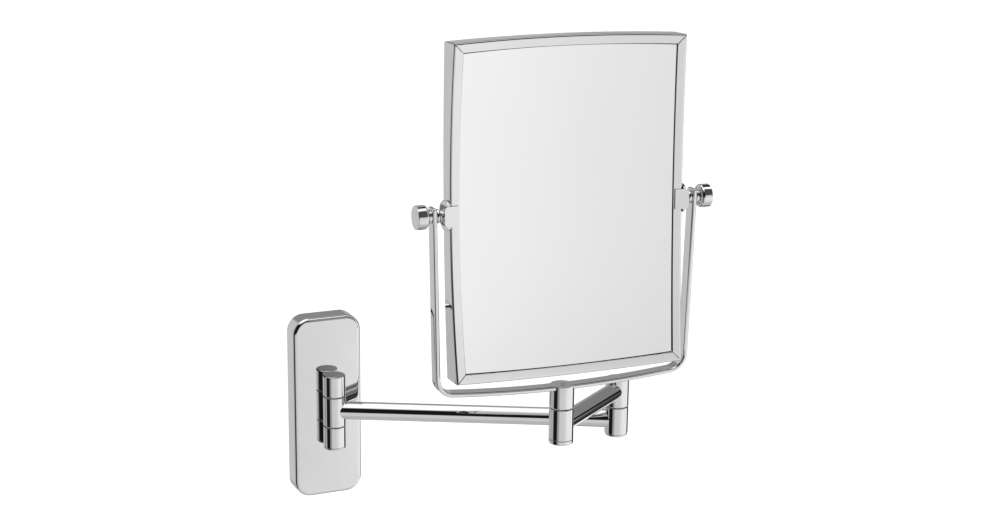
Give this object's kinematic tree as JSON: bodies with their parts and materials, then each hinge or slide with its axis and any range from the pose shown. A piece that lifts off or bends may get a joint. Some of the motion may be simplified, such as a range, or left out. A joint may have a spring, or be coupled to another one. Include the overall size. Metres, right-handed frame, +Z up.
{
  "type": "extendable shaving mirror",
  "caption": "Wall-mounted double-sided shaving mirror in a rectangular chrome frame, tilting in a U-shaped yoke on a folding bracket of two round arms.",
  "frame": {"origin": "centre of the wall plate's back, on the wall", "axes": "+Y into the wall, -Y out into the room, +X to the right as seen from the room, +Z up"},
  "size_m": [0.2256, 0.173, 0.3263],
  "materials": {
    "chrome_plate": "brass and steel pieces, polished and chromium plated",
    "silvered_glass": "silvered float glass, polished",
    "zinc_steel": "zinc plated steel",
    "bush_brass": "turned brass",
    "nylon": "natural nylon",
    "hardboard": "pressed wood fibre board"
  },
  "bodies": {
    "wall_mount": {"wall_plate": "chrome_plate", "backing_plate": "zinc_steel", "wall_bracket": "zinc_steel", "plate_grub_screw": "zinc_steel", "upper_wall_knuckle": "chrome_plate", "lower_wall_knuckle": "chrome_plate", "wall_hinge_cap": "chrome_plate", "wall_hinge_pin": "zinc_steel", "upper_knuckle_screw": "zinc_steel", "lower_knuckle_screw": "zinc_steel", "upper_screw_washer": "zinc_steel", "lower_screw_washer": "zinc_steel", "upper_hinge_washer": "nylon", "lower_hinge_washer": "nylon"},
    "first_arm": {"first_arm_wall_knuckle": "chrome_plate", "wall_hinge_bush": "bush_brass", "first_arm_tube": "chrome_plate", "elbow_lower_knuckle": "chrome_plate", "elbow_cap": "chrome_plate", "elbow_pin": "zinc_steel", "elbow_washer": "nylon"},
    "second_arm": {"elbow_upper_knuckle": "chrome_plate", "elbow_bush": "bush_brass", "second_arm_tube": "chrome_plate", "post_knuckle": "chrome_plate", "post_cap": "chrome_plate", "post_bush": "bush_brass", "post_washer": "nylon"},
    "yoke": {"yoke_strip": "chrome_plate", "yoke_socket": "chrome_plate", "yoke_screw": "chrome_plate", "left_yoke_bush": "nylon", "right_yoke_bush": "nylon"},
    "mirror": {"frame_right_stile": "chrome_plate", "frame_top_rail": "chrome_plate", "frame_left_stile": "chrome_plate", "frame_bottom_rail": "chrome_plate", "magnifying_glass": "silvered_glass", "plain_glass": "silvered_glass", "core_board": "hardboard", "left_frame_clamp": "chrome_plate", "left_pivot_stud": "zinc_steel", "left_pivot_collar": "chrome_plate", "right_frame_clamp": "chrome_plate", "right_pivot_stud": "zinc_steel", "right_pivot_collar": "chrome_plate"},
    "left_knob": {"left_knob": "chrome_plate", "left_neck_washer": "chrome_plate"},
    "right_knob": {"right_knob": "chrome_plate", "right_neck_washer": "chrome_plate"}
  },
  "joints": [
    {"name": "wall_hinge", "type": "hinge", "parent": "wall_mount", "child": "first_arm", "pos_m": [0.0015, -0.023, 0], "axis": [0, 0, -1], "range_deg": [-25, 151]},
    {"name": "elbow_hinge", "type": "hinge", "parent": "first_arm", "child": "second_arm", "pos_m": [0.16901, -0.10835, 0.01], "axis": [0, 0, 1], "continuous": true},
    {"name": "post_swivel", "type": "hinge", "parent": "second_arm", "child": "yoke", "pos_m": [0.10534, -0.15512, 0.0314], "axis": [0, 0, 1], "continuous": true},
    {"name": "mirror_tilt", "type": "hinge", "parent": "yoke", "child": "mirror", "pos_m": [0.10534, -0.15512, 0.1595], "axis": [0.9992, -0.0401, 0], "continuous": true},
    {"name": "left_knob_turn", "type": "hinge", "parent": "mirror", "child": "left_knob", "pos_m": [0.01341, -0.15143, 0.1595], "axis": [-0.9992, 0.0401, 0], "range_deg": [0, 360]},
    {"name": "right_knob_turn", "type": "hinge", "parent": "mirror", "child": "right_knob", "pos_m": [0.19727, -0.15881, 0.1595], "axis": [0.9992, -0.0401, 0], "range_deg": [0, 360]}
  ]
}
